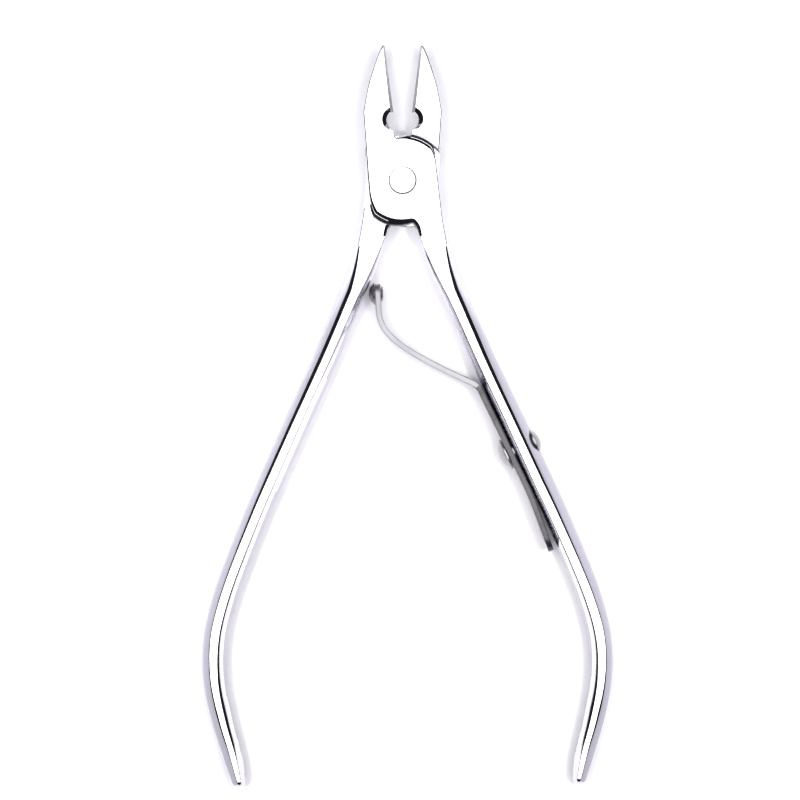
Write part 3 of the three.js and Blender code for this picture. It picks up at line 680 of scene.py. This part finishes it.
def leaf_ring(i):
    """Section of the strip with softened edges, narrowed towards its ends."""
    before, after = leaf_path[max(0, i - 1)], leaf_path[min(len(leaf_path) - 1, i + 1)]
    along = (after - before) / np.linalg.norm(after - before)
    across = np.array([-along[1], along[0]])
    from_tail, from_tip = leaf_s[i], leaf_s[-1] - leaf_s[i]
    elbow = leaf_s[elbow_end]
    t = max(0.0, (leaf_s[i] - elbow) / (leaf_s[-1] - elbow))
    width = LEAF_WIDTH + (LEAF_TIP_WIDTH - LEAF_WIDTH) * t
    width -= TIP_NARROWS_BY * max(0.0, 1 - from_tip / TIP_NARROWS_OVER)
    for distance, radius in ((from_tail, LEAF_WIDTH / 2), (from_tip, TIP_ROUND)):
        if distance < radius:
            width *= math.sqrt(max(0.05, 1 - (1 - distance / radius) ** 2))
    h, w, r = LEAF_THICK / 2, width / 2, min(LEAF_EDGE, 0.4 * width / 2)
    ring = []
    for su, sv, start in ((1, 1, 0), (-1, 1, 90), (-1, -1, 180), (1, -1, 270)):
        for turn in np.linspace(start, start + 90, 5):
            a = math.radians(turn)
            ring.append((su * (h - r) + r * math.cos(a), sv * (w - r) + r * math.sin(a)))
    return [(*(leaf_path[i] + across * u), MID + v) for u, v in ring]


leaf = skin("leaf_spring", [leaf_ring(i) for i in range(len(leaf_path))])
boolean(leaf, lathe("hole", [(0, -CUTTER_END), (hole_r, -CUTTER_END), (hole_r, 3), (0, 3)], 48,
                    axis=rivet_out, seat=rivet_point), "DIFFERENCE")
shank_r = SHANK_RADIUS + SEAT_GAP
boolean(leaf, lathe("hole", [(0, -2), (shank_r, -2), (shank_r, 2), (0, 2)], 48,
                    axis=tip_facing, seat=button_centre), "DIFFERENCE")

for piece in (upper, lower, rivet, button, pin, leaf):
    finish_surface(piece)


# ---- materials ----
def steel(name, colour, rough, scratch, grain, bump, tint=0.06):
    """Bare steel: fine wandering scratches over a soft cloud of wear, in roughness, colour and bump."""
    material = bpy.data.materials.new(name)
    material.use_nodes = True
    tree = material.node_tree
    nodes, links = tree.nodes, tree.links
    shader = nodes["Principled BSDF"]
    shader.inputs["Metallic"].default_value = 1.0
    place = nodes.new("ShaderNodeTexCoord")
    stretch = nodes.new("ShaderNodeMapping")
    stretch.inputs["Scale"].default_value = grain
    links.new(place.outputs["Object"], stretch.inputs["Vector"])
    fine = nodes.new("ShaderNodeTexNoise")
    fine.inputs["Scale"].default_value = scratch
    fine.inputs["Detail"].default_value = 4
    fine.inputs["Roughness"].default_value = 0.65
    links.new(stretch.outputs["Vector"], fine.inputs["Vector"])
    cloud = nodes.new("ShaderNodeTexNoise")
    cloud.inputs["Scale"].default_value = 260
    cloud.inputs["Detail"].default_value = 3
    links.new(place.outputs["Object"], cloud.inputs["Vector"])
    blend = nodes.new("ShaderNodeMix")
    blend.inputs["Factor"].default_value = 0.5
    links.new(fine.outputs["Fac"], blend.inputs["A"])
    links.new(cloud.outputs["Fac"], blend.inputs["B"])
    wear = nodes.new("ShaderNodeMapRange")
    wear.inputs["From Min"].default_value, wear.inputs["From Max"].default_value = 0.35, 0.65
    wear.inputs["To Min"].default_value, wear.inputs["To Max"].default_value = rough
    links.new(blend.outputs["Result"], wear.inputs["Value"])
    links.new(wear.outputs["Result"], shader.inputs["Roughness"])
    ramp = nodes.new("ShaderNodeValToRGB")
    ramp.color_ramp.elements[0].position, ramp.color_ramp.elements[1].position = 0.3, 0.7
    ramp.color_ramp.elements[0].color = (*[c * (1 - tint) for c in colour], 1)
    ramp.color_ramp.elements[1].color = (*colour, 1)
    links.new(blend.outputs["Result"], ramp.inputs["Fac"])
    links.new(ramp.outputs["Color"], shader.inputs["Base Color"])
    relief_node = nodes.new("ShaderNodeBump")
    relief_node.inputs["Strength"].default_value = bump
    relief_node.inputs["Distance"].default_value = 0.00002
    links.new(fine.outputs["Fac"], relief_node.inputs["Height"])
    links.new(relief_node.outputs["Normal"], shader.inputs["Normal"])
    return material


POLISHED = (0.88, 0.865, 0.91)
polished = steel("polished_steel", POLISHED, (0.05, 0.12), 1500, (1, 0.25, 1), 0.10)
# rougher side steel; its darker, lavender base colour is painted shade standing in for the shaded floor
# that the handles' sides reflect
satin_painted_shade = steel("satin_side_painted_shade", (0.47, 0.455, 0.515), (0.12, 0.22), 1700, (1, 0.15, 1), 0.25, 0.10)
pin_steel = steel("pin_steel", (0.86, 0.85, 0.89), (0.08, 0.18), 1800, (1, 1, 1), 0.15)
spring_steel = steel("spring_steel", (0.62, 0.61, 0.64), (0.16, 0.34), 2200, (1, 1, 0.2), 0.35, 0.15)
strip_edge = steel("spring_sheared_edge", (0.47, 0.46, 0.49), (0.38, 0.62), 2600, (1, 1, 1), 0.7, 0.35)
gap_steel = steel("shadowed_groove", (0.04, 0.037, 0.043), (0.3, 0.5), 900, (1, 1, 1), 0.8, 0.2)
dark_steel = steel("spring_edge_dark", (0.16, 0.155, 0.165), (0.28, 0.55), 2600, (1, 1, 1), 0.9, 0.75)
rivet_steel = steel("rivet_steel", (0.42, 0.415, 0.425), (0.22, 0.42), 2000, (1, 1, 1), 0.4, 0.3)
ground = steel("ground_edge", (0.97, 0.96, 0.98), (0.5, 0.8), 5200, (1, 0.7, 0.3), 1.0, 0.75)

NECK_FADE = 12          # mm down the handle


def fade_from(material, colour, start, end):
    """Give the material another base colour above start (Y in mm), turning to its own at end."""
    nodes, links = material.node_tree.nodes, material.node_tree.links
    shader = next(n for n in nodes if n.type == "BSDF_PRINCIPLED")
    own = shader.inputs["Base Color"].links[0].from_socket
    place, split = nodes.new("ShaderNodeTexCoord"), nodes.new("ShaderNodeSeparateXYZ")
    ramp, mix = nodes.new("ShaderNodeMapRange"), nodes.new("ShaderNodeMix")
    ramp.inputs["From Min"].default_value = start * MM
    ramp.inputs["From Max"].default_value = end * MM
    mix.data_type = "RGBA"
    first, second = [socket for socket in mix.inputs if socket.type == "RGBA"]
    first.default_value = (*colour, 1)
    result = next(socket for socket in mix.outputs if socket.type == "RGBA")
    links.new(place.outputs["Object"], split.inputs["Vector"])
    links.new(split.outputs["Y"], ramp.inputs["Value"])
    links.new(ramp.outputs["Result"], mix.inputs[0])
    links.new(own, second)
    links.new(result, shader.inputs["Base Color"])


# the painted shade on the handles' sides fades in from the polished colour at the neck
fade_from(satin_painted_shade, POLISHED, NECK[1], NECK[1] - NECK_FADE)

for piece, slot_name, body, nodes_replaced, look in (
        (upper, "polished_steel", "upper", ["upper_half"], polished),
        (lower, "polished_steel", "lower", ["lower_half"], polished),
        (pin, "pin_steel", "upper", ["pivot_pin"], pin_steel),
        (rivet, "rivet_steel", "upper", ["spring_rivet"], rivet_steel),
        (button, "rivet_steel", "spring_arm", ["contact_button"], rivet_steel),
        (leaf, "spring_steel", None, ["leaf_spring_base", "leaf_spring_arm"], spring_steel)):
    piece.data.materials.clear()
    piece.data.materials.append(look)
    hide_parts(*nodes_replaced)
    if body:
        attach(piece, body)

# ground faces beside the cutting edges, handle sides in rougher steel with painted shade (a darker,
# lavender base colour) and the groove round a plate's end
SHADED_SIDE_SINE = 0.66       # outward part of a normal on the outer side
INNER_SINE = 0.87       # and on the inner side, below the bevel
GROOVE = (6.4, 7.25)    # distances from the pivot axis
GROOVE_INSET = 0.3      # from both faces of the head
WALL_RISE = 0.35        # largest upward part of a wall's normal
LAND_FROM = 1.2         # above the relief's centre
LAND_FACING = 0.8       # part of a land's normal towards the other jaw
GROUND_SLOT, SHADED_SIDE_SLOT, GAP_SLOT = 1, 2, 3
for piece, side, line in ((upper, 1, right_line), (lower, -1, left_line)):
    for look in (ground, satin_painted_shade, gap_steel):
        piece.data.materials.append(look)
    toward = np.array([math.cos(side * HALF_OPENING), math.sin(side * HALF_OPENING)]) * side
    shares = np.linspace(0, 1, 300)
    stations = np.array([line.at(s) for s in shares]) * (side, 1) * MM
    alongs = np.array([line.along(s) for s in shares]) * (side, 1)
    for polygon in piece.data.polygons:
        c, n = polygon.center, polygon.normal
        if c.y / MM > RELIEF_CENTRE + LAND_FROM and np.dot(toward, (n.x, n.y)) > LAND_FACING:
            polygon.material_index = GROUND_SLOT
        elif (GROOVE[0] < math.hypot(c.x, c.y) / MM < GROOVE[1]
              and GROOVE_INSET < c.z / MM < HEAD_THICK - GROOVE_INSET):
            # walls and floor of the room round the other half's plate
            if abs(n.z) < WALL_RISE or abs(c.z / MM - MID) < 2 * LAP_GAP:
                polygon.material_index = GAP_SLOT
        elif c.y < NECK[1] * MM:
            near = np.argmin((stations[:, 0] - c.x) ** 2 + (stations[:, 1] - c.y) ** 2)
            along = alongs[near]
            across = side * (-along[1] * n.x + along[0] * n.y)
            # sides steeper than these get the steel with painted shade
            if across > SHADED_SIDE_SINE or across < -INNER_SINE:
                polygon.material_index = SHADED_SIDE_SLOT

# sheared edges of the strip, darker along its clamped stretch
EDGE_RISE = 0.3         # least upward part of a sheared edge's normal
DARK_FROM = 0.0002      # metres below the bend
EDGE_SLOT, DARK_SLOT = 1, 2
for look in (strip_edge, dark_steel):
    leaf.data.materials.append(look)
bend_y = bend[1] * MM
for polygon in leaf.data.polygons:
    if abs(polygon.normal.z) > EDGE_RISE:
        polygon.material_index = DARK_SLOT if polygon.center.y < bend_y - DARK_FROM else EDGE_SLOT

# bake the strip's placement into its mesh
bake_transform(leaf)

# ---- floor, light and camera ----
floor_mesh = bpy.data.meshes.new("floor")
FLOOR = 1.5             # metres, half its side
FLOOR_DROP = 0.00005    # metres, below the part's underside
corners = [(-FLOOR, -FLOOR, 0), (FLOOR, -FLOOR, 0), (FLOOR, FLOOR, 0), (-FLOOR, FLOOR, 0)]
floor_mesh.from_pydata(corners, [], [(0, 1, 2, 3)])
floor = bpy.data.objects.new("floor", floor_mesh)
bpy.context.scene.collection.objects.link(floor)
floor.location.z = -FLOOR_DROP
paper = bpy.data.materials.new("paper")
paper.use_nodes = True
paper_shader = paper.node_tree.nodes["Principled BSDF"]
paper_shader.inputs["Base Color"].default_value = (0.86, 0.845, 0.89, 1)
paper_shader.inputs["Roughness"].default_value = 0.9
floor.data.materials.append(paper)

centre = Vector((-0.39, -32.85, 0)) * MM     # middle of the picture
SOFTBOX_SIZE, SOFTBOX_POWER = 1.1, 11
SIDE_POWER, SIDE_SIZE, SIDE_CONE = 13, 0.05, math.radians(13)
SIDE_OUT, SIDE_AIM_OUT = 0.20, 0.05          # metres from the middle


def hang(name, light, location, aim):
    """Lamp at a place in metres, turned towards another."""
    lamp = bpy.data.objects.new(name, light)
    bpy.context.scene.collection.objects.link(lamp)
    lamp.location = location
    lamp.rotation_euler = (Vector(aim) - lamp.location).to_track_quat("-Z", "Y").to_euler()
    return lamp


softbox = bpy.data.lights.new("softbox", "AREA")
softbox.shape = "SQUARE"
softbox.size = SOFTBOX_SIZE
softbox.energy = SOFTBOX_POWER
hang("softbox", softbox, (0, -0.03, 0.8), centre)

# a lamp on each side lights the floor outside the handles and is left out of reflections
for side in (-1, 1):
    spot = bpy.data.lights.new("side_lamp", "SPOT")
    spot.energy = SIDE_POWER
    spot.shadow_soft_size = SIDE_SIZE
    spot.spot_size = SIDE_CONE
    spot.spot_blend = 1.0
    lamp = hang("side_lamp", spot, (side * SIDE_OUT, -0.03, 0.60), (side * SIDE_AIM_OUT, -0.035, 0))
    lamp.visible_glossy = False

# pale near the floor and dark above it, for the dark lines that polished steel shows
world = bpy.data.worlds.new("studio")
bpy.context.scene.world = world
world.use_nodes = True
wn, wl = world.node_tree.nodes, world.node_tree.links
sky = wn["Background"]
direction = wn.new("ShaderNodeTexCoord")
split = wn.new("ShaderNodeSeparateXYZ")
wl.new(direction.outputs["Generated"], split.inputs["Vector"])
band = wn.new("ShaderNodeValToRGB")
wl.new(split.outputs["Z"], band.inputs["Fac"])
pale, dark = band.color_ramp.elements[0], band.color_ramp.elements[1]
pale.position, pale.color = 0.05, (0.75, 0.74, 0.78, 1)
dark.position, dark.color = 0.16, (0.012, 0.012, 0.014, 1)
wl.new(band.outputs["Color"], sky.inputs["Color"])
sky.inputs["Strength"].default_value = 1.0

camera_data = bpy.data.cameras.new("camera")
camera = bpy.data.objects.new("camera", camera_data)
bpy.context.scene.collection.objects.link(camera)
bpy.context.scene.camera = camera
camera_data.sensor_width = 36
camera_data.lens = 150
VIEW_WIDTH = 0.120      # metres across the picture
VIEW_HEIGHT = 0.7       # share of the head's thickness where that width holds
distance = VIEW_WIDTH * camera_data.lens / camera_data.sensor_width
camera.location = centre + Vector((0, 0, distance + VIEW_HEIGHT * HEAD_THICK * MM))
camera.rotation_euler = (0, 0, 0)
camera_data.clip_start, camera_data.clip_end = 0.01, 10

bpy.context.scene.view_settings.view_transform = "Standard"
